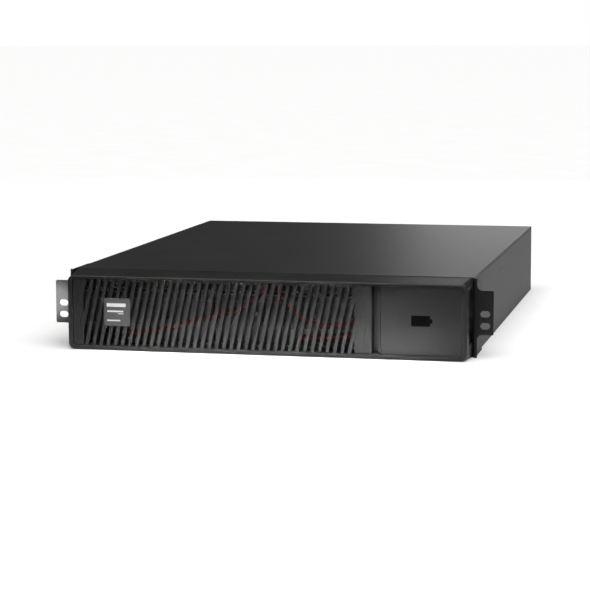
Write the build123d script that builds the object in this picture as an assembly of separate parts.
"""Rack-mounted battery module of an uninterruptible power supply, two rack units high.

X runs to the right, Y from front to back and Z up, in millimetres. Pieces are drawn from the
rack's mounting plane, Y = 0 at the front of the ears, and are saved with the origin at the
middle of the base.
"""
import os
from math import cos, radians, sin, tan

from build123d import *

# ------------------------------------------------------------ rack interface
EAR_SPAN = 482.6        # outside to outside of the two ears
SLOT_SPAN = 465.1       # left slots to right slots
SLOT_PITCH = 12.7       # upper slot to lower slot
SLOT_LENGTH = 10.5
SLOT_WIDTH = 7.0
SLOT_MID_Z = 40.2       # height of the middle of each pair of slots
EAR_SHEET = 2.0
EAR_LEG = 55.0          # along the side of the case
EAR_ROOT = 4.0          # width of the tab above and below its wide part
EAR_TAB_LOW = 24.5
EAR_TAB_HEIGHT = 47.0

# ------------------------------------------------------------ case
CASE_WIDTH = 440.0
CASE_HEIGHT = 84.4
CASE_BACK = 560.0       # rear edge, behind the rack plane
CASE_FRONT = 5.5        # front edge, behind the rack plane
SHEET = 1.2             # case steel
LID_SHEET = 1.0
LID_LIP = 2.7           # folded edge of the top cover
SEAM = 0.3              # between the cover's lip and the side wall
REAR_INSET = 2.0        # rear panel in from the case's rear edge

# ------------------------------------------------------------ case screws and rail-kit holes
SCREW_HEAD = 3.2        # head radius of the countersunk screws
SCREW_HEAD_DEPTH = 0.65
SCREW_HOLE = 1.8
SCREW_TAP = 1.6         # hole in the sheet that the screw cuts its thread in
LID_SCREW_XS = (-190.0, 0.0, 190.0)
LID_SCREW_IN = 7.0      # in front of the rear panel
FOOT_SCREW_XS = (-150.0, 0.0, 150.0)
FOOT_SCREW_IN = 6.0
EAR_SCREW_YS = (22.0, 44.0)
EAR_SCREW_ZS = (18.0, 66.0)
RAIL_HOLE_RADIUS = 1.6
RAIL_HOLE_FIRST = (228.0, 20.0)         # Y and Z of the lower front hole
RAIL_HOLE_SPACING = (22.0, 46.0)
DIMPLES = ((-199.6, 273.0), (-93.0, 267.0))     # X and Y of the lid's half-shear dimples

# ------------------------------------------------------------ bezel
BEZEL_FACE = -29.0      # front face
BEZEL_NARROWER = 5.1    # than the case, at the face; it widens towards the case
BEZEL_LOW = 0.4
BEZEL_LOWER = 3.7       # than the case, at the face; it rises towards the case
BEZEL_CORNER = 7.0
BEZEL_REAR_CORNER = 4.5
BEZEL_WALL = 2.5
BEZEL_EDGE_GAP = 0.5    # seam to the case
BEZEL_SIDE_GAP = 0.6    # to the ears
BAR = 5.4               # frame around the inserts
OPENING_CORNER = 3.0
GROOVE_X = 117.0        # left side of the upright finger groove
GROOVE_WIDTH = 7.7
GROOVE_DEPTH = 10.0
INSERT_INSET = 1.0      # inserts' faces behind the bezel's face
INSERT_GAP = 0.3
INSERT_FLANGE = 0.7     # how far the inserts reach behind the frame
FLANGE_THICK = 2.1
GROOVE_WALL = 1.3
RIB_ZS = (28.5, 56.0)   # cross ribs behind the slats
RIB = (2.5, 1.6)        # depth, height
END_LINE = 0.5          # width and depth of the lines in the closed ends
HOOK = (6.0, 2.2)       # width, thickness
HOOK_XS = (-206.0, -62.2, 111.4, 206.0)
SLAT_PITCH = 8.06
SLAT_START = 0.0         # a gap's middle, half way up
SLAT_GAP = 4.0
SLAT_LEAN = 12.2        # degrees from upright
GRILLE_LEFT = -200.0
GRILLE_RIGHT = 98.5
BADGE_SIZE = (29.6, 30.0)
BADGE_MIDDLE = (-161.8, 42.0)
BADGE_PROUD = 1.6
SYMBOL_MIDDLE = (168.7, 41.6)
SYMBOL_SIZE = (20.0, 11.4)

# ------------------------------------------------------------ batteries and trays
BATTERY = (151.0, 94.0, 65.0)   # 12 V, 9 Ah, lying on its side
BATTERY_COUNT = 4               # in each tray
BATTERY_PITCH = 108.0
BATTERY_CLEARANCE = 0.5
BATTERY_START = 34.0            # front of the first battery
TERMINAL = (6.35, 6.5, 0.8)
TERMINAL_OFFSET = 63.0          # from the battery's middle
TERMINAL_BELOW = 13.0           # under the battery's top
LID_STEP = 6.0                  # depth of the battery's lid
BATTERY_CORNER = 2.0
TRAY_SHEET = 1.0
TRAY_CLEARANCE = 1.0            # to the bay's walls
TRAY_FLOAT = 0.3                # above the slide strips
TRAY_WALL = 45.0
TRAY_REAR_WALL = 30.0
TRAY_BEHIND = 4.0               # room behind the last battery
BULKHEAD_GAP = 6.0
STRIP = 0.9                     # thickness of the slide strips
STRIP_OFFSET = 55.0             # each side of a tray's middle
STRIP_HALF = 8.0
PLATE_GAP = 0.6                 # bezel to tray plates, and plates to rail
PLATE_VENTS = 13
PLATE_VENT_PITCH = 11.5
PLATE_VENT = (7.0, 3.4)
PLATE_VENT_Z = 62.0
LEAD_HOLE = 5.5
LEAD_HOLE_Z = 15.0
LEAD_HOLE_OFFSETS = (18.0, 40.0)        # red and black, from the tray's middle
STRAP_SPAN = 38.0               # half length
STRAP_RISE = 6.0
STRAP_THICK = 1.4
STRAP_Z = (31.0, 49.0)
THUMB_OFFSETS = (-25.0, 25.0)   # from the tray's middle
THUMB_ABOVE = 3.8               # above the batteries
THUMB_HEAD = (5.6, 11.0)        # radius, length
THUMB_SHANK = 2.0
THUMB_HOLE = 2.35
THUMB_FLUTES = 18

# ------------------------------------------------------------ wiring
LEAD = 5.0              # battery leads, outside diameter
JUMPER = 4.0            # leads between batteries
JUMPER_GAP = 0.3        # above the batteries
SLEEVE = (9.0, 7.6, 10.0)       # insulated flag terminal
SLEEVE_GAP = 0.4        # to the battery
BORE_GAP = 0.02         # round a lead or a blade in its housing
BORE_DEPTH = 1.1
PLUG = (36.0, 25.0, 16.0)
POLE_PITCH = 18.0
PLUG_FACE = 25.6        # mating face, behind the rack plane
PLUG_GAP = 0.4
PLUG_X = 150.0
PLUG_BELOW_RAIL = 18.2  # middle of the left tray's plug under the front rail
LOWER_PLUG_Z = 24.0     # middle of the right tray's plug
PLUG_SLOT = (1.6, 12.0) # width, depth of the slot between the two poles
SOCKET_DEPTH = 22.0
BRACKET_Y = 36.0
BRACKET_GAP = 0.05      # round each socket
BLADE = (8.0, 10.0, 2.0)
CAVITY = (9.4, 14.0, 3.6)

# ------------------------------------------------------------ rear fittings
FITTING_Z = 40.0        # middle of the connectors and of the breaker
OUTPUT_X = 30.0
INPUT_X = 95.0
BREAKER_X = 155.0
GROUND = (196.0, 18.0)  # X and Z of the earthing stud
GROUND_STUD = 2.5
CONNECTOR = (52.0, 30.0, 28.0)
CONNECTOR_PROUD = 6.0
CONNECTOR_WALL = 3.0
CONNECTOR_POLE = 15.0   # each pole from the connector's middle
CONNECTOR_CAVITY = 18.0
FITTING_GAP = 0.2       # round each fitting in its cut-out
REAR_VENTS = 14
REAR_VENT_FIRST = (-190.0, 42.0)        # X and Z of the left vent slot
REAR_VENT_PITCH = 12.0
REAR_VENT = (44.0, 5.0)
REAR_FLANGE = 14.0
BREAKER = (38.0, 46.0, 26.0)
BREAKER_FRAME = (44.0, 2.4, 32.0)
BREAKER_POLE = 10.0
ROCKER_WELL = (29.0, 11.0, 22.4)        # width, depth behind the panel's face, height
ROCKER_WIDTH = 27.6
ROCKER_TILT = 13.0
ROCKER_PIN = 1.5
ROCKER_PIN_REACH = 16.2
PIN_GAP = 0.05
ROCKER_SUNK = 2.0       # pin's centre behind the panel's face

# ------------------------------------------------------------ connection board
BOARD_X = (112.0, 206.0)
BOARD_DEPTH = 120.0
BOARD_TO_REAR = 44.8
BOARD_Z = 9.2
BOARD_SHEET = 1.6
STANDOFF_IN = 5.0       # from the board's edges
FUSE_XS = (132.0, 172.0)
FUSE_START = 26.0       # behind the board's front edge
FUSE_BASE = 60.0
FUSE_LENGTH = 50.0
FUSE_Z = 22.0
FUSE_RADIUS = 4.8
FUSE_CAP = (5.1, 9.0)   # radius, length
BUS_BLOCK_X = (184.0, 200.0)
BUS_BLOCK_START = 33.0
BUS_BLOCK = (46.0, 14.0)        # depth, height
ROUTES_REAR = 556.8     # rear panel's place that the fixed leads were laid out for
ROUTES_FIXED_TO = 360.0 # points in front of this stay where the depth changes

# ------------------------------------------------------------ values worked out
bezel_width = CASE_WIDTH - BEZEL_NARROWER
bezel_top = CASE_HEIGHT - BEZEL_LOWER
bay_width = BATTERY[0] + 2 * (BATTERY_CLEARANCE + TRAY_SHEET + TRAY_CLEARANCE)
wall_inside = CASE_WIDTH / 2 - SHEET
divider_x = -wall_inside + bay_width
duct_x = divider_x + SHEET + bay_width
tray_middles = {"left": -wall_inside + bay_width / 2, "right": duct_x - bay_width / 2}
tray_width = bay_width - 2 * TRAY_CLEARANCE
tray_low = SHEET + STRIP + TRAY_FLOAT
battery_low = tray_low + TRAY_SHEET
battery_top = battery_low + BATTERY[2]
tray_back = BATTERY_START + (BATTERY_COUNT - 1) * BATTERY_PITCH + BATTERY[1] + TRAY_BEHIND
bulkhead_y = tray_back + BULKHEAD_GAP
lid_low = CASE_HEIGHT - LID_SHEET
lip_low = CASE_HEIGHT - LID_LIP
rear_y = CASE_BACK - REAR_INSET - SHEET
bezel_back = CASE_FRONT - BEZEL_EDGE_GAP
insert_face = BEZEL_FACE + INSERT_INSET
flange_front = BEZEL_FACE + BEZEL_WALL
plate_front = bezel_back + PLATE_GAP
plate_back = plate_front + SHEET
rail_front = plate_back + PLATE_GAP
rail_low = battery_top + LEAD + 0.8
rail_high = lid_low - 0.3
hook_z = (rail_low + rail_high) / 2
screw_z = battery_top + THUMB_ABOVE
plate_top = hook_z - 2.4
slat_slope = tan(radians(SLAT_LEAN))
opening_low = BEZEL_LOW + BEZEL_WALL + INSERT_FLANGE + 1.5
opening_high = bezel_top - BEZEL_WALL - INSERT_FLANGE
rocker_y = rear_y + SHEET - ROCKER_SUNK
connector_back = rear_y + SHEET + CONNECTOR_PROUD
board_back = rear_y - BOARD_TO_REAR
board_front = board_back - BOARD_DEPTH
board_top = BOARD_Z + BOARD_SHEET
fuse_y = (board_front + FUSE_START, board_front + FUSE_START + FUSE_BASE)
socket_front = PLUG_FACE + PLUG_GAP
socket_back = socket_front + SOCKET_DEPTH
red_x = PLUG_X - POLE_PITCH / 2
black_x = PLUG_X + POLE_PITCH / 2
upper_z = rail_low - PLUG_BELOW_RAIL
plug_heights = (upper_z, LOWER_PLUG_Z)
flag_low = battery_top - TERMINAL_BELOW - SLEEVE[2] / 2
flag_high = flag_low + SLEEVE[2]

os.makedirs("parts", exist_ok=True)


def block(x, y, z):
    """A box given by its three ranges."""
    size = [high - low for low, high in (x, y, z)]
    middle = [(high + low) / 2 for low, high in (x, y, z)]
    return Pos(*middle) * Box(*size)


def joined(solids):
    """One shape from overlapping or touching solids."""
    solids = list(solids)
    return solids[0].fuse(*solids[1:]).clean() if len(solids) > 1 else solids[0]


def group(solids):
    """Separate solids that share one node."""
    return Compound(children=list(solids))


def rod(x, y, z, radius, length, along):
    """A cylinder centred at a point, along X, Y or Z."""
    turn = {"X": (0, 90, 0), "Y": (90, 0, 0), "Z": (0, 0, 0)}[along]
    return Pos(x, y, z) * Rot(*turn) * Cylinder(radius, length)


def upright_outline(y, x_range, z_range, radius):
    """A rounded rectangle that faces the front, at one depth."""
    width = x_range[1] - x_range[0]
    height = z_range[1] - z_range[0]
    plane = Plane(origin=(sum(x_range) / 2, y, sum(z_range) / 2), x_dir=(1, 0, 0), z_dir=(0, -1, 0))
    return plane * RectangleRounded(width, height, radius)


def upright_plate(y_range, x_range, z_range, radius):
    """A flat plate with rounded corners that faces the front."""
    outline = upright_outline(y_range[1], x_range, z_range, radius)
    return extrude(outline, y_range[1] - y_range[0])


def lead(points, diameter, name):
    """A wire along hand-picked points, with the largest tangent arcs that its runs allow."""
    corners = [Vector(*point) for point in points]
    radii = []
    for before, corner, after in zip(corners, corners[1:], corners[2:]):
        turn = (corner - before).get_angle(after - corner)
        shorter = min((corner - before).length, (after - corner).length)
        radii.append(0.45 * shorter / tan(radians(turn / 2)))
    print(name, "radii", [round(radius, 1) for radius in radii])
    path = FilletPolyline(*corners, radius=radii)
    start = Plane(origin=path @ 0, z_dir=path % 0)
    tube = sweep(start * Circle(diameter / 2), path=path)
    print(name, "volume ratio", round(tube.volume / (Circle(diameter / 2).area * path.length), 4))
    return tube


# ------------------------------------------------------------ case pieces
def base_pan():
    """Floor and both side walls, folded from one steel sheet, with the rail-kit screw holes."""
    half = CASE_WIDTH / 2
    depth = (CASE_FRONT, CASE_BACK)
    wall_top = lip_low - SEAM
    pan = [block((-half, half), depth, (0, SHEET))]
    for side in (-1, 1):
        wall = sorted((side * half, side * wall_inside))
        lip = sorted((side * wall_inside, side * (wall_inside - SHEET)))
        pan.append(block(wall, depth, (0, wall_top)))
        pan.append(block(lip, depth, (wall_top - 3, lid_low - 0.2)))
    pan = joined(pan)
    folds = pan.edges().filter_by(Axis.Y).filter_by(lambda e: abs(e.center().Z) < 0.1)
    pan = fillet(folds, SHEET * 0.9)
    inner = pan.edges().filter_by(Axis.Y)
    inner = inner.filter_by(lambda e: abs(e.center().Z - SHEET) < 0.1 and abs(e.center().X) > 200)
    pan = fillet(inner, 0.6)
    for y, z in rail_kit_holes():
        pan -= rod(0, y, z, RAIL_HOLE_RADIUS, CASE_WIDTH + 2, "X")
    foot_y = rear_y - FOOT_SCREW_IN
    for x in FOOT_SCREW_XS:
        pan -= rod(x, foot_y, SHEET / 2, SCREW_HOLE, 2 * SHEET, "Z")
        pan -= Rot(180, 0, 0) * screw_recess(x, -foot_y, 0)
    for y, z in ear_screw_places():
        pan -= rod(0, y, z, SCREW_HOLE, CASE_WIDTH + 2, "X")
    return pan


def rail_kit_holes():
    y, z = RAIL_HOLE_FIRST
    step_y, step_z = RAIL_HOLE_SPACING
    return [(y + i * step_y, z + k * step_z) for i in (0, 1) for k in (0, 1)]


def top_cover():
    """Flat lid with a folded lip along its sides and rear, and two half-shear dimples."""
    half = CASE_WIDTH / 2
    depth = (CASE_FRONT, CASE_BACK)
    lid = [block((-half, half), depth, (lid_low, CASE_HEIGHT))]
    for side in (-1, 1):
        lip = sorted((side * half, side * (half - LID_SHEET)))
        lid.append(block(lip, depth, (lip_low, CASE_HEIGHT)))
    lid.append(block((-half, half), (CASE_BACK - LID_SHEET, CASE_BACK), (lip_low, CASE_HEIGHT)))
    lid = joined(lid)
    top = lid.edges().filter_by(lambda e: abs(e.center().Z - CASE_HEIGHT) < 0.01)
    sides = top.filter_by(Axis.Y) + top.filter_by(Axis.X).sort_by(Axis.Y)[-1:]
    lid = fillet(sides, LID_SHEET * 0.85)
    for x, y in DIMPLES:
        lid -= Pos(x, y, CASE_HEIGHT + 2.2) * Sphere(2.6)
    for x, y in lid_screws():
        lid -= rod(x, y, CASE_HEIGHT - LID_SHEET / 2, SCREW_HOLE, 2 * LID_SHEET, "Z")
        lid -= screw_recess(x, y, CASE_HEIGHT)
    return lid


def lid_screws():
    return [(x, rear_y - LID_SCREW_IN) for x in LID_SCREW_XS]


def screw_recess(x, y, z):
    """Countersink for a screw whose head lies flush."""
    return Pos(x, y, z - 0.35) * Cone(SCREW_HEAD - 0.35, SCREW_HEAD + 0.35, 0.7)


def countersunk_screw():
    """A small countersunk screw with a cross recess; its head's top is at the origin."""
    head = Pos(0, 0, -SCREW_HEAD_DEPTH / 2) * Cone(SCREW_HEAD - 0.7, SCREW_HEAD - 0.05, SCREW_HEAD_DEPTH)
    shank = Pos(0, 0, -1.7) * Cylinder(SCREW_TAP - 0.1, 2.5)
    screw = joined([head, shank])
    for turn in (0, 90):
        screw -= Rot(0, 0, turn) * Box(2.8, 0.6, 0.9)
    return screw


def case_screws():
    """Countersunk screws that hold the lid, the rear panel and the ears."""
    screw = countersunk_screw()
    placed = [Pos(x, y, CASE_HEIGHT - 0.05) * screw for x, y in lid_screws()]
    placed += [Pos(x, rear_y - FOOT_SCREW_IN, 0.05) * Rot(180, 0, 0) * screw for x in FOOT_SCREW_XS]
    for side in (-1, 1):
        outside = side * (CASE_WIDTH / 2 + EAR_SHEET - 0.05)
        placed += [Pos(outside, y, z) * Rot(0, side * 90, 0) * screw for y, z in ear_screw_places()]
    return group(placed)


def ear_screw_places():
    return [(y, z) for y in EAR_SCREW_YS for z in EAR_SCREW_ZS]


def rear_panel():
    """Rear wall with screw flanges, vent slots and cut-outs for the connectors and the breaker."""
    high = lid_low - 0.2
    half = wall_inside - SHEET - 0.2
    low = SHEET
    panel = [block((-half, half), (rear_y, rear_y + SHEET), (low, high))]
    for z in (low, high - SHEET):
        panel.append(block((-half, half), (rear_y - REAR_FLANGE, rear_y + SHEET), (z, z + SHEET)))
    panel = joined(panel)
    for x, width, height in rear_cutouts():
        x_range = (x - width / 2, x + width / 2)
        z_range = (FITTING_Z - height / 2, FITTING_Z + height / 2)
        panel -= block(x_range, (rear_y - 1, rear_y + SHEET + 1), z_range)
    vent = extrude(SlotOverall(*REAR_VENT, rotation=90), 3, both=True)
    for column in range(REAR_VENTS):
        x = REAR_VENT_FIRST[0] + column * REAR_VENT_PITCH
        panel -= Pos(x, rear_y + SHEET / 2, REAR_VENT_FIRST[1]) * Rot(90, 0, 0) * vent
    panel -= rod(GROUND[0], rear_y, GROUND[1], GROUND_STUD + 0.1, 6, "Y")
    for x in FOOT_SCREW_XS:
        panel -= rod(x, rear_y - FOOT_SCREW_IN, low + SHEET / 2, SCREW_TAP, 2 * SHEET, "Z")
    for x, y in lid_screws():
        panel -= rod(x, y, high - SHEET / 2, SCREW_TAP, 2 * SHEET, "Z")
    return panel


def rear_cutouts():
    """X, width and height of each cut-out, with its clearance."""
    fittings = ((OUTPUT_X, CONNECTOR), (INPUT_X, CONNECTOR), (BREAKER_X, BREAKER))
    return [(x, size[0] + 2 * FITTING_GAP, size[2] + 2 * FITTING_GAP) for x, size in fittings]


def front_rail():
    """Zinc-plated cross rail above the trays, which the thumbscrews and the bezel's hooks enter."""
    half = wall_inside - SHEET - 0.2
    rail = joined([
        block((-half, half), (rail_front, rail_front + SHEET), (rail_low, rail_high)),
        block((-half, half), (rail_front, rail_front + 16), (rail_high - SHEET, rail_high)),
    ])
    for x in HOOK_XS:
        reach = HOOK[0] / 2 + 1
        rail -= block((x - reach, x + reach), (rail_front - 1, rail_front + 3), (hook_z - 2.6, hook_z + 2.4))
    tab_z = (battery_top + 0.8, rail_low + 1)
    tabs = [block((x - 7, x + 7), (rail_front, rail_front + SHEET), tab_z) for x in thumbscrew_xs()]
    rail = joined([rail] + tabs)
    for x in thumbscrew_xs():
        rail -= rod(x, rail_front, screw_z, THUMB_HOLE, 6, "Y")
    return rail


def thumbscrew_xs():
    return [middle + offset for middle in tray_middles.values() for offset in THUMB_OFFSETS]


def rack_ear(side):
    """Steel angle: a leg on the case's side and a tab with two slots for the rack's posts."""
    half = CASE_WIDTH / 2
    root = half + EAR_ROOT
    tip = EAR_SPAN / 2
    ear_top = CASE_HEIGHT - 0.4
    tab_top = EAR_TAB_LOW + EAR_TAB_HEIGHT
    leg = block((half, half + EAR_SHEET), (0, EAR_LEG), (0, ear_top))
    outline = [
        (half, 0), (root, 0), (root, EAR_TAB_LOW), (tip, EAR_TAB_LOW),
        (tip, tab_top), (root, tab_top), (root, ear_top), (half, ear_top),
    ]
    plane = Plane(origin=(0, EAR_SHEET, 0), x_dir=(1, 0, 0), z_dir=(0, -1, 0))
    tab = extrude(plane * make_face(Polyline(*outline, close=True)), EAR_SHEET)
    ear = joined([leg, tab])
    upright = ear.edges().filter_by(Axis.Y).filter_by(lambda e: e.length < 3)
    inner = upright.filter_by(lambda e: abs(e.center().X - root) < 0.1 and 1 < e.center().Z < ear_top - 1)
    ear = fillet(inner, 5.0)
    outer = ear.edges().filter_by(Axis.Y).filter_by(lambda e: e.center().X > tip - 1)
    ear = fillet(outer, 1.6)
    fold = ear.edges().filter_by(Axis.Z)
    fold = fold.filter_by(lambda e: abs(e.center().X - half) < 0.1 and e.center().Y < 0.1)
    ear = fillet(fold, 1.5)
    for z in (SLOT_MID_Z - SLOT_PITCH / 2, SLOT_MID_Z + SLOT_PITCH / 2):
        slot = extrude(SlotOverall(SLOT_LENGTH, SLOT_WIDTH), 3, both=True)
        ear -= Pos(SLOT_SPAN / 2, EAR_SHEET / 2, z) * Rot(90, 0, 0) * slot
    for y, z in ear_screw_places():
        ear -= rod(half + EAR_SHEET / 2, y, z, SCREW_HOLE, 2 * EAR_SHEET, "X")
        ear -= Pos(half + EAR_SHEET, y, z) * Rot(0, 90, 0) * screw_recess(0, 0, 0)
    return ear if side > 0 else mirror(ear, about=Plane.YZ)


def bay_wall(x):
    """Upright steel wall between two bays, welded to the floor along its lower edge."""
    return block((x, x + SHEET), (rail_front + 3, bulkhead_y), (SHEET, rail_low - 1))


def rear_bulkhead():
    """Cross wall behind the trays, which stops them."""
    left = -wall_inside + 0.2
    wall = block((left, duct_x + SHEET), (bulkhead_y, bulkhead_y + SHEET), (SHEET, rail_low - 1))
    foot = block((left, duct_x + SHEET), (bulkhead_y, bulkhead_y + 12), (SHEET, 2 * SHEET))
    return joined([wall, foot])


def slide_strips():
    """Low-friction strips under the trays' edges."""
    strips = []
    for middle in tray_middles.values():
        for x in (middle - STRIP_OFFSET, middle + STRIP_OFFSET):
            x_range = (x - STRIP_HALF, x + STRIP_HALF)
            strips.append(block(x_range, (rail_front + 6, bulkhead_y - 4), (SHEET, SHEET + STRIP)))
    return group(strips)


# ------------------------------------------------------------ bezel pieces
def bezel_body(inset):
    """Solid between the bezel's front outline and its rear outline, shrunk by an inset."""
    half = bezel_width / 2 - inset
    rear_half = CASE_WIDTH / 2 - BEZEL_SIDE_GAP - inset
    low = BEZEL_LOW + inset
    front_z = (low, bezel_top - inset)
    rear_z = (low, CASE_HEIGHT - 0.3 - inset)
    front = upright_outline(BEZEL_FACE, (-half, half), front_z, BEZEL_CORNER - inset)
    rear = upright_outline(bezel_back, (-rear_half, rear_half), rear_z, BEZEL_REAR_CORNER - inset)
    return loft([front, rear])


def bezel_frame():
    """Moulded surround: skirt, front frame, finger groove, hooks and side latch recesses."""
    frame = bezel_body(0) - bezel_body(BEZEL_WALL) & block((-300, 300), (flange_front, 20), (-5, 100))
    face = bezel_body(0) & block((-300, 300), (BEZEL_FACE - 1, flange_front), (-5, 100))
    frame = joined([frame, face])
    half = bezel_width / 2 - BAR
    opening_z = (opening_low, opening_high)
    frame -= upright_plate((BEZEL_FACE - 1, flange_front + 1), (-half, half), opening_z, OPENING_CORNER)
    groove = block(
        (GROOVE_X - GROOVE_WALL, GROOVE_X + GROOVE_WIDTH + GROOVE_WALL),
        (insert_face, insert_face + GROOVE_DEPTH + GROOVE_WALL),
        (BEZEL_LOW + 1.5, bezel_top - 1.5),
    )
    groove -= block(
        (GROOVE_X, GROOVE_X + GROOVE_WIDTH),
        (insert_face - 1, insert_face + GROOVE_DEPTH),
        (opening_low + 0.5, opening_high - 0.5),
    )
    frame = joined([frame, groove])
    frame = round_bezel(frame)
    for side in (-1, 1):
        frame -= side_recess(side)
    return joined([frame] + [hook(x) for x in HOOK_XS])


def round_bezel(frame):
    """Soft outer edge around the front face."""
    edges = frame.edges().filter_by(lambda e: abs(e.center().Y - BEZEL_FACE) < 0.01)
    half = bezel_width / 2 - BAR + 0.5
    outer = edges.filter_by(lambda e: outside_opening(e, half))
    return fillet(outer, 1.2)


def outside_opening(edge, half):
    middle = edge.center()
    return abs(middle.X) > half or middle.Z < opening_low - 1 or middle.Z > opening_high + 1


def side_recess(side):
    """Shallow recess in the bezel's side with a window onto the latch."""
    x_out = side * (CASE_WIDTH / 2 + 5)
    x_recess = side * (bezel_width / 2 - 0.9)
    x_in = side * (bezel_width / 2 - BEZEL_WALL - 1.5)
    recess = block(sorted((x_recess, x_out)), (BEZEL_FACE + 11, 20), (16.5, 74.5))
    window = block(sorted((x_in, x_out)), (BEZEL_FACE + 14, -4), (35, 58))
    catch = block(sorted((x_in, x_out)), (BEZEL_FACE + 15, -4), (19, 31))
    return joined([recess, window, catch])


def hook(x):
    """Snap hook under the bezel's top wall that reaches through the front rail."""
    width, thick = HOOK
    x_range = (x - width / 2, x + width / 2)
    low = hook_z - 1.6
    tip = rail_front + SHEET + 5
    arm = block(x_range, (-20, tip), (low, low + thick))
    barb = block(x_range, (tip - 4, tip), (low + thick - 0.6, low + thick + 1))
    gusset = block(x_range, (-20, -8), (low, bezel_top - 0.6))
    return joined([arm, barb, gusset])


def grille():
    """Louvre insert: leaning slats between two closed end plates, with two cross ribs behind."""
    left = INSERT_GAP + BAR - bezel_width / 2
    right = GROOVE_X - GROOVE_WALL - INSERT_GAP
    plate = insert_plate(left, right, left - 2 * INSERT_FLANGE, right)
    plate -= gaps(GRILLE_LEFT, GRILLE_RIGHT, SLAT_GAP, insert_face - 1, flange_front + 3)
    ends = ((left + 1, GRILLE_LEFT - 1.2), (GRILLE_RIGHT + 1.2, right - 1))
    for start, end in ends:
        plate -= gaps(start, end, END_LINE, insert_face - 1, insert_face + END_LINE)
    rib_y = (flange_front + FLANGE_THICK, flange_front + FLANGE_THICK + RIB[0])
    ribs = [
        block((GRILLE_LEFT - 3, GRILLE_RIGHT + 3), rib_y, (z - RIB[1] / 2, z + RIB[1] / 2))
        for z in RIB_ZS
    ]
    return joined([plate] + ribs)


def insert_plate(left, right, flange_left, flange_right):
    """Rounded plate that fills a part of the frame's opening, with a flange behind the frame."""
    z = (opening_low + INSERT_GAP, opening_high - INSERT_GAP)
    flange_z = (opening_low - INSERT_FLANGE, opening_high + INSERT_FLANGE)
    corner = OPENING_CORNER - INSERT_GAP
    raised = upright_plate((insert_face, flange_front + 0.1), (left, right), z, corner)
    flange_y = (flange_front + 0.05, flange_front + FLANGE_THICK)
    return joined([raised, block((flange_left, flange_right), flange_y, flange_z)])


def gaps(left, right, width, y_front, y_back):
    """Leaning gaps at the slat pitch, clipped to an upright-sided window."""
    low, high = opening_low + 0.6, opening_high - 0.6
    middle_z = (low + high) / 2
    plane = Plane(origin=(0, y_back, 0), x_dir=(1, 0, 0), z_dir=(0, -1, 0))
    window = plane * Pos((left + right) / 2, middle_z) * Rectangle(right - left, high - low)
    sway = (high - low) / 2 * slat_slope
    reach = (high - low) / 2 + 1
    shift = reach * slat_slope
    half = width / 2 / cos(radians(SLAT_LEAN))
    count = int((bezel_width + CASE_HEIGHT) / SLAT_PITCH)
    bars = []
    for number in range(-count // 2, count // 2 + 1):
        middle = number * SLAT_PITCH + SLAT_START
        if middle + sway + width < left or middle - sway - width > right:
            continue
        corners = [
            (middle - shift - half, middle_z - reach), (middle - shift + half, middle_z - reach),
            (middle + shift + half, middle_z + reach), (middle + shift - half, middle_z + reach),
        ]
        bars.append(extrude((plane * make_face(Polyline(*corners, close=True))) & window, y_back - y_front))
    return Compound(children=[solid for bar in bars for solid in bar.solids() if solid.volume > 0.5])


def badge():
    """Rounded name-plate blank with a raised rim, on the slats."""
    x, z = BADGE_MIDDLE
    half_x, half_z = BADGE_SIZE[0] / 2, BADGE_SIZE[1] / 2
    front = insert_face - BADGE_PROUD
    plate = upright_plate((front, insert_face), (x - half_x, x + half_x), (z - half_z, z + half_z), 2.5)
    rim = plate.faces().sort_by(Axis.Y)[0].edges()
    return chamfer(rim, 0.5)


def blank_panel():
    """Plain insert at the right, where other versions carry a display."""
    left = GROOVE_X + GROOVE_WIDTH + GROOVE_WALL + INSERT_GAP
    right = bezel_width / 2 - BAR - INSERT_GAP
    return insert_plate(left, right, left, right + 2 * INSERT_FLANGE)


def battery_symbol():
    """Thin printed battery shape: a rounded body and its nub."""
    x, z = SYMBOL_MIDDLE
    half_x, half_z = SYMBOL_SIZE[0] / 2, SYMBOL_SIZE[1] / 2
    y = (insert_face - 0.25, insert_face)
    body = upright_plate(y, (x - half_x, x + half_x), (z - half_z, z + half_z), 1.2)
    nub = upright_plate(y, (x + half_x - 2, x + half_x + 2.4), (z - 2.4, z + 2.4), 0.8)
    return joined([body, nub])


# ------------------------------------------------------------ trays and batteries
def tray(middle):
    """Folded battery tray: floor, low walls and a front plate with a row of vent holes."""
    half = tray_width / 2
    left, right = middle - half, middle + half
    pieces = [
        block((left, right), (plate_front, tray_back), (tray_low, tray_low + TRAY_SHEET)),
        block((left, left + TRAY_SHEET), (plate_front, tray_back), (tray_low, TRAY_WALL)),
        block((right - TRAY_SHEET, right), (plate_front, tray_back), (tray_low, TRAY_WALL)),
        block((left, right), (tray_back - TRAY_SHEET, tray_back), (tray_low, TRAY_REAR_WALL)),
        block((left, right), (plate_front, plate_back), (tray_low, plate_top)),
    ]
    shape = joined(pieces)
    for offset in THUMB_OFFSETS:
        shape -= rod(middle + offset, plate_front, screw_z, THUMB_HOLE, 6, "Y")
    vent = extrude(SlotOverall(*PLATE_VENT), 3, both=True)
    for number in range(PLATE_VENTS):
        x = middle + (number - (PLATE_VENTS - 1) / 2) * PLATE_VENT_PITCH
        shape -= Pos(x, plate_front, PLATE_VENT_Z) * Rot(90, 0, 0) * vent
    for x in lead_holes(middle):
        shape -= rod(x, plate_front, LEAD_HOLE_Z, LEAD_HOLE, 6, "Y")
    return shape


def plus_side(middle):
    """Which way a tray's plus terminals lie: -1 is left. The right tray is wired the other way."""
    return -1 if middle < divider_x else 1


def lead_holes(middle):
    return [middle + plus_side(middle) * offset for offset in LEAD_HOLE_OFFSETS]


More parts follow.
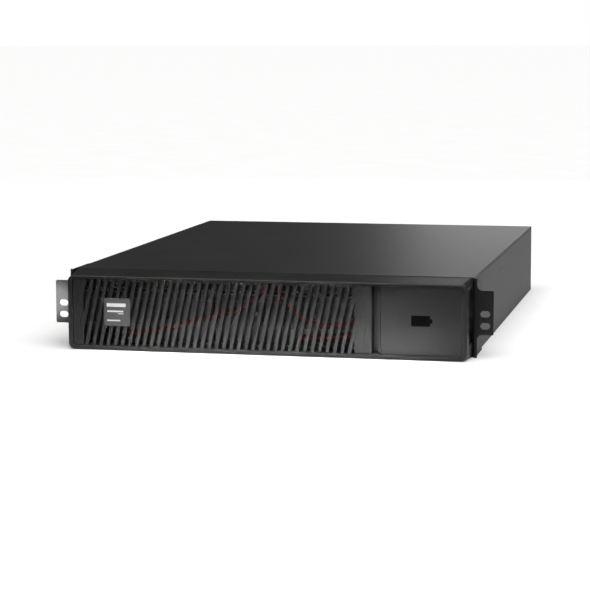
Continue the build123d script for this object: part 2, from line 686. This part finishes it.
def pull_strap(middle):
    """Webbing loop on the tray's front plate: two ends flat on it, and a raised grip between."""
    y = plate_front
    span, rise, thick = STRAP_SPAN, STRAP_RISE, STRAP_THICK
    half = [
        (span - 12, y), (span, y), (span, y - thick), (span - 11, y - thick),
        (span - 18, y - rise - thick),
    ]
    grip = [(span - 19, y - rise)]
    outline = [(middle + x, depth) for x, depth in grip + half]
    outline += [(middle - x, depth) for x, depth in reversed(grip + half)]
    plane = Plane(origin=(0, 0, STRAP_Z[0]))
    return extrude(plane * make_face(Polyline(*outline, close=True)), STRAP_Z[1] - STRAP_Z[0])


def battery(middle, number):
    """Sealed lead-acid battery on its side, with a lid step and its terminals facing forward."""
    front = BATTERY_START + number * BATTERY_PITCH
    half = BATTERY[0] / 2
    x, z = (middle - half, middle + half), (battery_low, battery_top)
    lid_x, lid_z = (x[0] + 0.6, x[1] - 0.6), (z[0] + 0.6, z[1] - 0.6)
    body = block(x, (front + LID_STEP, front + BATTERY[1]), z)
    lid = block(lid_x, (front, front + LID_STEP + 1), lid_z)
    rounded = [fillet(shape.edges().filter_by(Axis.Y), BATTERY_CORNER) for shape in (body, lid)]
    return joined(rounded)


def terminal_places(middle, number):
    """Left and right tabs of one battery: X, Y of the battery's face, Z."""
    front = BATTERY_START + number * BATTERY_PITCH
    z = battery_top - TERMINAL_BELOW
    return [(middle + side * TERMINAL_OFFSET, front, z) for side in (-1, 1)]


def tab(place, growth=0.0):
    """A terminal blade that stands on the battery's face."""
    x, y, z = place
    return block(
        (x - TERMINAL[0] / 2 - growth, x + TERMINAL[0] / 2 + growth),
        (y - TERMINAL[1] - growth, y - 0.02),
        (z - TERMINAL[2] / 2 - growth, z + TERMINAL[2] / 2 + growth),
    )


def terminals(middle):
    places = [place for number in range(BATTERY_COUNT) for place in terminal_places(middle, number)]
    return group(tab(place) for place in places)


def sleeve(place):
    """Insulated flag terminal that covers one tab."""
    x, y, z = place
    body = block(
        (x - SLEEVE[0] / 2, x + SLEEVE[0] / 2),
        (y - SLEEVE_GAP - SLEEVE[1], y - SLEEVE_GAP),
        (z - SLEEVE[2] / 2, z + SLEEVE[2] / 2),
    )
    return body - tab(place, 0.05)


def jumpers(middle):
    """Leads that join the batteries in series, over the top of each battery."""
    pieces = []
    lie = battery_top + JUMPER / 2 + JUMPER_GAP
    for number in range(BATTERY_COUNT - 1):
        side = plus_side(middle) * (-1 if number % 2 == 0 else 1)
        index = 1 if side > 0 else 0
        near = terminal_places(middle, number)[index]
        far = terminal_places(middle, number + 1)[index]
        sleeve_top = near[2] + SLEEVE[2] / 2
        x = near[0]
        y_near, y_far = (y - SLEEVE_GAP - SLEEVE[1] / 2 - 0.3 for y in (near[1], far[1]))
        points = [
            (x, y_near, sleeve_top - 1), (x, y_near, lie), (x - side * 3, y_near + 36, lie),
            (x - side * 3, y_far - 36, lie), (x, y_far, lie), (x, y_far, sleeve_top - 1),
        ]
        wire = lead(points, JUMPER, "jumper")
        pieces.append(joined([wire, sleeve(near), sleeve(far)]))
    return group(pieces)


# Routes of the trays' leads. The inner ones give X from the tray's middle, away from its plus side.
over_batteries = battery_top + LEAD / 2 + 0.5
INNER_RED = [(-63, 29.5, flag_low + 0.6), (-63, 27.5, 32), (-46, 23, 18), (-23, 20, 15)]
INNER_BLACK = [
    (-63, 353.5, flag_high - 0.4), (-63, 353.5, over_batteries), (-56, 318, over_batteries),
    (-46, 262, over_batteries), (-43, 196, over_batteries), (-46, 130, over_batteries),
    (-47, 70, over_batteries), (-44, 24, over_batteries), (-44, 15, 48), (-42.5, 11.5, 29), (-41, 11, 17),
]
LEFT_RED = [
    (-158, -7, 15), (-118, -11.5, 20), (-66, -12, 37), (-28, -12, 46), (-9, -12, 61),
    (5, -12, 77.5), (17, -12, 61), (34, -12, 40.5), (54, -12, 31), (82, -12, 31.5),
    (110, -12, 43), (128, -11, 52), (red_x, -6.5, upper_z),
]
LEFT_BLACK = [
    (-180, -5, 13), (-146, -8, 9), (-88, -12, 8.5), (-26, -13, 9.5), (30, -13, 8),
    (78, -13, 9), (108, -14, 20), (130, -14, 37), (148, -12, 51), (black_x, -6.5, upper_z),
]
RIGHT_RED = [
    (34, -5, 15), (60, -6.5, 17), (95, -6.5, 20), (120, -8, 22), (133, -9, 23.5),
    (red_x, -6.5, LOWER_PLUG_Z),
]
RIGHT_BLACK = [
    (56, -4.5, 12.5), (82, -6, 9), (112, -6.5, 8.5), (134, -8, 11), (149, -9, 18),
    (black_x, -6.5, LOWER_PLUG_Z),
]


def tray_lead(middle, number, inner, outer, height, name):
    """One lead from a battery's flag terminal, through the front plate and into the plug."""
    side = plus_side(middle)
    plus = number == 0
    points = [(middle - side * x, y, z) for x, y, z in inner] + outer
    points.append((red_x if plus else black_x, PLUG_FACE - PLUG[1] + 1, height))
    index = 1 if side > 0 else 0
    end = sleeve(terminal_places(middle, number)[index])
    return joined([lead(points, LEAD, name), end])


def plug(height):
    """Two-pole plug on the tray's leads; its flat face meets the socket."""
    x, depth, z = PLUG[0] / 2, PLUG[1], PLUG[2] / 2
    y = (PLUG_FACE - depth, PLUG_FACE)
    body = block((PLUG_X - x, PLUG_X + x), y, (height - z, height + z))
    body = fillet(body.edges().filter_by(Axis.Y), 1.5)
    slot_x = (PLUG_X - PLUG_SLOT[0] / 2, PLUG_X + PLUG_SLOT[0] / 2)
    body -= block(slot_x, (y[0] - 1, y[0] + PLUG_SLOT[1]), (height - z - 1, height + z + 1))
    for centre in (red_x, black_x):
        body -= lead_bore(centre, y[0], height)
        body -= blade(centre, height, BORE_GAP)
    return body


def lead_bore(x, y, z):
    """Short bore that a lead's end enters, about a housing's face."""
    return rod(x, y, z, LEAD / 2 + BORE_GAP, 2 * BORE_DEPTH, "Y")


def blade(x, z, growth=0.0):
    """One contact of a tray's plug."""
    half_x, half_z = BLADE[0] / 2 + growth, BLADE[2] / 2 + growth
    return block((x - half_x, x + half_x), (PLUG_FACE - 8, PLUG_FACE + BLADE[1]), (z - half_z, z + half_z))


def plug_contacts(height):
    return group(blade(x, height) for x in (red_x, black_x))


# ------------------------------------------------------------ fixed wiring and rear fittings
def socket_bracket():
    """Steel angle that carries the trays' sockets, at the front of the right compartment."""
    x = (duct_x + SHEET + 0.4, wall_inside - SHEET - 0.4)
    bracket = joined([
        block(x, (BRACKET_Y, BRACKET_Y + SHEET), (SHEET, rail_low - 2)),
        block(x, (BRACKET_Y, BRACKET_Y + 18), (SHEET, 2 * SHEET)),
    ])
    half_x, half_z = PLUG[0] / 2 + BRACKET_GAP, PLUG[2] / 2 + BRACKET_GAP
    for height in plug_heights:
        z = (height - half_z, height + half_z)
        bracket -= block((PLUG_X - half_x, PLUG_X + half_x), (BRACKET_Y - 1, BRACKET_Y + SHEET + 1), z)
    return bracket


def tray_sockets():
    """Two fixed sockets that the trays' plugs push into."""
    sockets = []
    half_x, half_z = PLUG[0] / 2, PLUG[2] / 2
    cavity_x, cavity_depth, cavity_z = CAVITY[0] / 2, CAVITY[1], CAVITY[2] / 2
    for height in plug_heights:
        z = (height - half_z, height + half_z)
        body = block((PLUG_X - half_x, PLUG_X + half_x), (socket_front, socket_back), z)
        for x in (red_x, black_x):
            z = (height - cavity_z, height + cavity_z)
            body -= block((x - cavity_x, x + cavity_x), (socket_front - 1, socket_front + cavity_depth), z)
            body -= lead_bore(x, socket_back, height)
        sockets.append(body)
    return group(sockets)


def connector(x):
    """Two-pole battery connector in the rear panel: a shroud open to the rear."""
    half_x, half_z = CONNECTOR[0] / 2, CONNECTOR[2] / 2
    front = connector_back - CONNECTOR[1]
    face = rear_y + SHEET
    body = about(x, FITTING_Z, half_x, half_z, (front, connector_back))
    cavity_y = (connector_back - CONNECTOR_CAVITY, connector_back + 1)
    cavity = about(x, FITTING_Z, half_x - CONNECTOR_WALL, half_z - CONNECTOR_WALL, cavity_y)
    flange = about(x, FITTING_Z, half_x + 2.5, half_z + 2.5, (face, face + 2))
    body = joined([body, flange]) - cavity
    for pole in (-1, 1):
        body -= connector_blade(x, pole, BORE_GAP)
        body -= lead_bore(x + pole * CONNECTOR_POLE, front, FITTING_Z)
    return body


def about(x, z, half_x, half_z, y_range):
    """A box about a point of the front view, through a range of depths."""
    return block((x - half_x, x + half_x), y_range, (z - half_z, z + half_z))


def connector_blade(x, pole, growth=0.0):
    """One contact of a rear connector, rooted behind its cavity."""
    y_range = (connector_back - CONNECTOR_CAVITY - 4, connector_back - 4)
    return about(x + pole * CONNECTOR_POLE, FITTING_Z, 1.5 + growth, 7 + growth, y_range)


def connector_contacts():
    """Contacts of the rear connectors and of the trays' sockets."""
    contacts = [connector_blade(x, pole) for x in (OUTPUT_X, INPUT_X) for pole in (-1, 1)]
    deep = socket_front + CAVITY[1]
    for height in plug_heights:
        contacts += [about(x, height, 4, 1.6, (deep - 2.5, deep)) for x in (red_x, black_x)]
    return group(contacts)


def breaker_body():
    """Moulded two-pole circuit breaker with a frame on the rear panel and a well for its rocker."""
    face = rear_y + SHEET
    front = face - BREAKER[1]
    proud = face + BREAKER_FRAME[1]
    body = about(BREAKER_X, FITTING_Z, BREAKER[0] / 2, BREAKER[2] / 2, (front, face + 1))
    frame = about(BREAKER_X, FITTING_Z, BREAKER_FRAME[0] / 2, BREAKER_FRAME[2] / 2, (face, proud))
    outer = frame.edges().filter_by(lambda e: abs(e.center().Y - proud) < 0.01)
    body = joined([body, chamfer(outer, 0.8)])
    well_width, well_depth, well_height = ROCKER_WELL
    body -= about(BREAKER_X, FITTING_Z, well_width / 2, well_height / 2, (face - well_depth, proud + 1))
    pin_length = 2 * (ROCKER_PIN_REACH + 0.3)
    body -= rod(BREAKER_X, rocker_y, FITTING_Z, ROCKER_PIN + PIN_GAP, pin_length, "X")
    for pole in (-1, 1):
        body -= lead_bore(BREAKER_X + pole * BREAKER_POLE, front, FITTING_Z)
    return body


def breaker_rocker():
    """Rocker with its two stub pins, tilted to its closed position."""
    profile = [(-9.2, -3.2), (0, -4.6), (9.2, -3.2), (8.0, 3.6), (-8.0, 3.6)]
    plane = Plane(origin=(-ROCKER_WIDTH / 2, 0, 0), x_dir=(0, 0, 1), z_dir=(1, 0, 0))
    body = extrude(plane * make_face(Polyline(*profile, close=True)), ROCKER_WIDTH)
    pins = rod(0, 0, 0, ROCKER_PIN, 2 * ROCKER_PIN_REACH, "X")
    rocker = joined([body, pins])
    return Pos(BREAKER_X, rocker_y, FITTING_Z) * Rot(ROCKER_TILT, 0, 0) * rocker


def ground_stud():
    """Earthing stud with a nut on each side of the rear panel."""
    x, z = GROUND
    thick = 4.0
    solids = [rod(x, rear_y + 1, z, GROUND_STUD, 20, "Y")]
    for y in (rear_y + SHEET + thick / 2, rear_y - thick / 2):
        nut = Pos(x, y, z) * Rot(90, 0, 0) * extrude(RegularPolygon(4.6, 6), thick / 2, both=True)
        solids.append(nut - rod(x, y, z, GROUND_STUD + 0.01, 10, "Y"))
    return group(solids)


def connection_board():
    """Circuit board that joins the trays' leads to the rear connectors."""
    board = block(BOARD_X, (board_front, board_back), (BOARD_Z, board_top))
    for x, y in standoff_places():
        board -= rod(x, y, BOARD_Z, 1.7, 6, "Z")
    return board


def standoff_places():
    xs = (BOARD_X[0] + STANDOFF_IN, BOARD_X[1] - STANDOFF_IN)
    ys = (board_front + STANDOFF_IN, board_back - STANDOFF_IN)
    return [(x, y) for x in xs for y in ys]


def board_standoffs():
    """Hexagonal standoffs with the screws that hold the board down."""
    solids = []
    for x, y in standoff_places():
        post = Pos(x, y, SHEET) * extrude(RegularPolygon(3.2, 6), BOARD_Z - SHEET)
        head = rod(x, y, board_top + 1, 2.8, 2, "Z")
        shank = rod(x, y, BOARD_Z + 0.5, 1.5, 2 * BOARD_SHEET, "Z")
        solids.append(joined([post, shank, head]))
    return group(solids)


def fuse_holders():
    """Moulded bases with end posts, one for each tray."""
    holders = []
    for x in FUSE_XS:
        base = [block((x - 11, x + 11), fuse_y, (board_top, board_top + 4))]
        for y in (fuse_y[0] + 6, fuse_y[1] - 6):
            base.append(block((x - 9, x + 9), (y - 5, y + 5), (board_top, FUSE_Z + 2)))
        seat = rod(x, sum(fuse_y) / 2, FUSE_Z, FUSE_CAP[0] + 0.1, FUSE_LENGTH + 3, "Y")
        holders.append(joined(base) - seat)
    return group(holders)


def fuses():
    """Cartridge fuses with metal end caps."""
    middle = sum(fuse_y) / 2
    cap_radius, cap_length = FUSE_CAP
    cap_offset = (FUSE_LENGTH - cap_length) / 2 - 0.5
    solids = []
    for x in FUSE_XS:
        tube = rod(x, middle, FUSE_Z, FUSE_RADIUS, FUSE_LENGTH, "Y")
        caps = [rod(x, middle + side * cap_offset, FUSE_Z, cap_radius, cap_length, "Y") for side in (-1, 1)]
        solids.append(joined([tube] + caps))
    return group(solids)


def terminal_block():
    """Negative bus block on the board."""
    front = board_front + BUS_BLOCK_START
    depth, height = BUS_BLOCK
    body = block(BUS_BLOCK_X, (front, front + depth), (board_top, board_top + height))
    return fillet(body.edges().filter_by(Axis.Z), 1.5)


socket_end = socket_back - BORE_DEPTH + 0.1
# Fixed leads, red ones first: from the trays' sockets to the board and on to the rear fittings.
RED_ROUTES = {
    "upper red": [
        (red_x, socket_end, upper_z), (red_x, 70, upper_z), (136, 112, 50), (128, 168, 40), (122, 228, 32),
        (120, 290, 28), (123, 350, 26), (130, 392, 23), (132, 417.4, 19.5),
    ],
    "lower red": [
        (red_x, socket_end, LOWER_PLUG_Z), (red_x, 70, LOWER_PLUG_Z), (148, 112, 18), (158, 168, 13),
        (166, 228, 10), (171, 290, 11), (173, 350, 16), (172, 392, 19), (172, 417.4, 19.5),
    ],
    "breaker red": [(132, 478.6, 19.5), (133, 488, 24), (139, 496, 34), (145, 503, 40), (145, 512.9, 40)],
    "output red": [
        (165, 512.9, 40), (165, 504, 40), (160, 497, 46), (140, 495, 58), (105, 500, 60),
        (70, 508, 52), (52, 518, 43), (45, 526, 40), (45, 535, 40),
    ],
    "input red": [
        (172, 478.6, 19.5), (170, 490, 17), (150, 498, 14), (125, 505, 15), (112, 515, 24),
        (109, 521, 35), (110, 527, 40), (110, 535, 40),
    ],
}
BLACK_ROUTES = {
    "upper black": [
        (black_x, socket_end, upper_z), (black_x, 70, upper_z), (166, 112, 51), (178, 168, 43),
        (188, 228, 36), (194, 290, 31), (195, 350, 29), (192, 394, 26), (190, 424.4, 21),
    ],
    "lower black": [
        (black_x, socket_end, LOWER_PLUG_Z), (black_x, 70, LOWER_PLUG_Z), (168, 112, 24), (184, 168, 22),
        (200, 228, 18), (208, 290, 16), (208, 350, 17), (201, 394, 18), (196, 424.4, 15),
    ],
    "output black": [
        (191, 472.2, 20), (188, 488, 27), (181, 495, 44), (165, 497, 62), (130, 500, 67), (80, 505, 66),
        (40, 508, 61), (18, 517, 50), (15, 526, 40), (15, 535, 40),
    ],
    "input black": [
        (196, 471.8, 15), (195, 486, 17), (186, 498, 21), (160, 505, 23), (128, 511, 27),
        (100, 513, 33), (84, 519, 38), (80, 527, 40), (80, 535, 40),
    ],
}


def fixed_leads(routes):
    """Leads along their routes; what lies behind the trays moves with the rear panel."""
    moved = rear_y - ROUTES_REAR
    tubes = []
    for name, points in routes.items():
        placed = [(x, y + moved if y > ROUTES_FIXED_TO else y, z) for x, y, z in points]
        tubes.append(lead(placed, LEAD, name))
    return group(tubes)


def thumbscrew(x):
    """Captive screw with a knurled head, through the tray's front plate into the rail."""
    radius, length = THUMB_HEAD
    head_front = plate_front - 0.4 - length
    head_middle = head_front + length / 2
    head = rod(x, head_middle, screw_z, radius, length, "Y")
    rim = head.edges().filter_by(GeomType.CIRCLE)
    head = chamfer(rim, 0.8)
    for number in range(THUMB_FLUTES):
        turn = radians(number * 360 / THUMB_FLUTES)
        flute_x, flute_z = (radius + 0.5) * cos(turn), (radius + 0.5) * sin(turn)
        head -= rod(x + flute_x, head_middle, screw_z + flute_z, 0.75, length + 1, "Y")
    shank = rod(x, plate_front + 2.5, screw_z, THUMB_SHANK, 11, "Y")
    slot = about(x, screw_z, 7, 0.6, (head_front - 1, head_front + 1.2))
    return joined([head, shank]) - slot


# ------------------------------------------------------------ every node
def all_parts():
    parts = {
        "base_pan": base_pan(),
        "top_cover": top_cover(),
        "rear_panel": rear_panel(),
        "front_rail": front_rail(),
        "left_rack_ear": rack_ear(-1),
        "right_rack_ear": rack_ear(1),
        "case_screws": case_screws(),
        "bay_divider": bay_wall(divider_x),
        "duct_wall": bay_wall(duct_x),
        "rear_bulkhead": rear_bulkhead(),
        "slide_strips": slide_strips(),
        "socket_bracket": socket_bracket(),
        "tray_sockets": tray_sockets(),
        "connection_board": connection_board(),
        "board_standoffs": board_standoffs(),
        "fuse_holders": fuse_holders(),
        "fuses": fuses(),
        "terminal_block": terminal_block(),
        "breaker_body": breaker_body(),
        "breaker_rocker": breaker_rocker(),
        "output_connector": connector(OUTPUT_X),
        "input_connector": connector(INPUT_X),
        "connector_contacts": connector_contacts(),
        "ground_stud": ground_stud(),
        "red_leads": fixed_leads(RED_ROUTES),
        "black_leads": fixed_leads(BLACK_ROUTES),
        "bezel_frame": bezel_frame(),
        "grille": grille(),
        "badge": badge(),
        "blank_panel": blank_panel(),
        "battery_symbol": battery_symbol(),
    }
    routes = {"left": (LEFT_RED, LEFT_BLACK), "right": (RIGHT_RED, RIGHT_BLACK)}
    for name, height in zip(("left", "right"), plug_heights):
        middle = tray_middles[name]
        red, black = routes[name]
        parts[name + "_tray"] = tray(middle)
        parts[name + "_pull_strap"] = pull_strap(middle)
        for number in range(BATTERY_COUNT):
            parts[f"{name}_battery_{number + 1}"] = battery(middle, number)
        parts[name + "_terminals"] = terminals(middle)
        parts[name + "_jumpers"] = jumpers(middle)
        parts[name + "_red_lead"] = tray_lead(middle, 0, INNER_RED, red, height, name + " red")
        last = BATTERY_COUNT - 1
        parts[name + "_black_lead"] = tray_lead(middle, last, INNER_BLACK, black, height, name + " black")
        parts[name + "_plug"] = plug(height)
        parts[name + "_plug_contacts"] = plug_contacts(height)
        for end, offset in zip(("outer", "inner"), THUMB_OFFSETS):
            parts[f"{name}_{end}_thumbscrew"] = thumbscrew(middle + offset)
    return parts


def origin_shift():
    """From the rack plane to the middle of the whole depth, badge to rear connectors."""
    front = insert_face - BADGE_PROUD
    stud_end = rear_y + 11
    back = max(CASE_BACK, connector_back, stud_end)
    return Pos(0, -(front + back) / 2, 0)


shift = origin_shift()
for node, shape in all_parts().items():
    export_step(shift * shape, f"parts/{node}.step")
